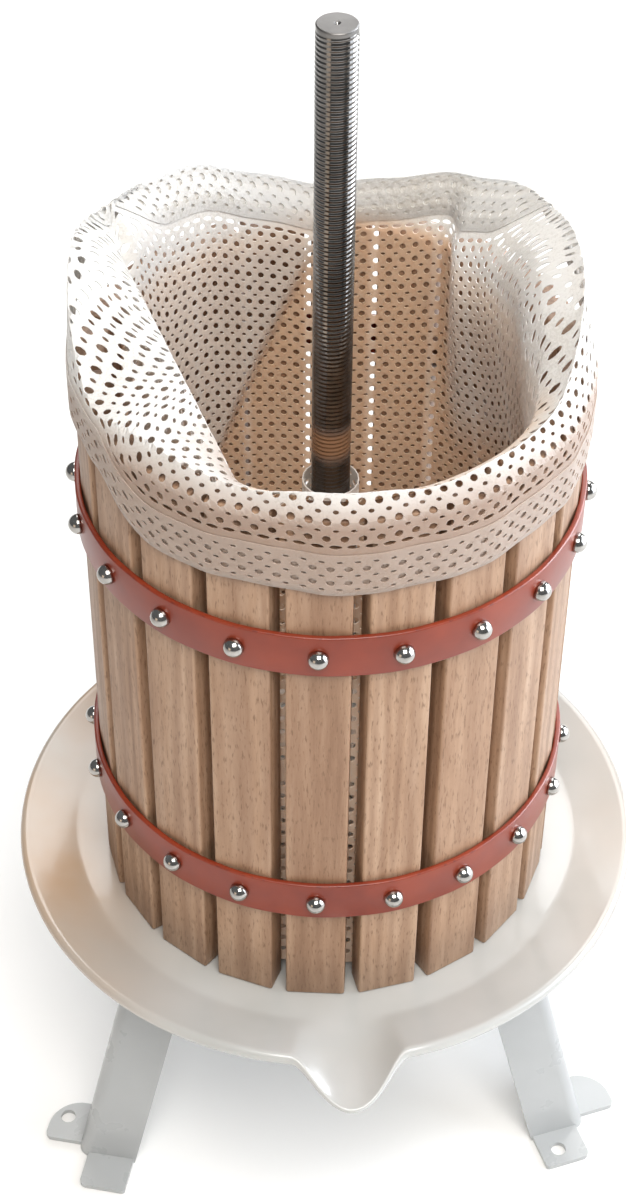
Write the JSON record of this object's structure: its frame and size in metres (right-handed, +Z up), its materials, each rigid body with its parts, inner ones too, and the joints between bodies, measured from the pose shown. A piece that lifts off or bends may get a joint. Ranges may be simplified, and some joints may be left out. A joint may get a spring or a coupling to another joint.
{
  "type": "fruit press",
  "caption": "Free-standing basket fruit press: slatted wooden basket with red hoops and a net bag round a fixed screw spindle, on a white tray with a pouring lip and splayed legs.",
  "frame": {"origin": "on the ground under the spindle's axis, the centre of the foot holes' circle", "axes": "+Z up along the spindle, front with the pouring lip towards -Y"},
  "size_m": [0.3578, 0.3921, 0.711],
  "materials": {
    "tray_enamel": "glossy cream-white enamel",
    "leg_enamel": "semi-gloss white enamel",
    "zinc_steel": "bright zinc",
    "spindle_steel": "bright rolled thread",
    "beech": "planed and oiled",
    "hoop_paint": "semi-gloss brick red paint",
    "bright_screws": "polished nickel",
    "bag_net": "stiff white polyester net",
    "bag_hem_net": "doubled white polyester net"
  },
  "bodies": {
    "stand": {"tray": "tray_enamel", "backing_plate": "leg_enamel", "leg_left": "leg_enamel", "leg_right": "leg_enamel", "leg_rear": "leg_enamel", "leg_bolts": "zinc_steel", "leg_nuts": "zinc_steel", "spindle": "spindle_steel", "upper_washer": "zinc_steel", "lower_washer": "zinc_steel", "spindle_nut": "zinc_steel"},
    "basket": {"stave_01": "beech", "stave_02": "beech", "stave_03": "beech", "stave_04": "beech", "stave_05": "beech", "stave_06": "beech", "stave_07": "beech", "stave_08": "beech", "stave_09": "beech", "stave_10": "beech", "stave_11": "beech", "stave_12": "beech", "stave_13": "beech", "stave_14": "beech", "stave_15": "beech", "stave_16": "beech", "stave_17": "beech", "stave_18": "beech", "stave_19": "beech", "stave_20": "beech", "lower_hoop": "hoop_paint", "upper_hoop": "hoop_paint", "lower_hoop_screws": "bright_screws", "upper_hoop_screws": "bright_screws"},
    "bag": {"bag_hem": "bag_hem_net", "bag_flap": "bag_net", "bag_mouth": "bag_net", "bag_wall": "bag_net", "bag_floor": "bag_net", "bag_sleeve": "bag_hem_net"}
  },
  "joints": [
    {"name": "basket_lift", "type": "slide", "parent": "stand", "child": "basket", "axis": [0, 0, 1], "range_m": [0, 0.54]},
    {"name": "bag_lift", "type": "slide", "parent": "basket", "child": "bag", "axis": [0, 0, 1], "range_m": [0, 0.54]}
  ]
}
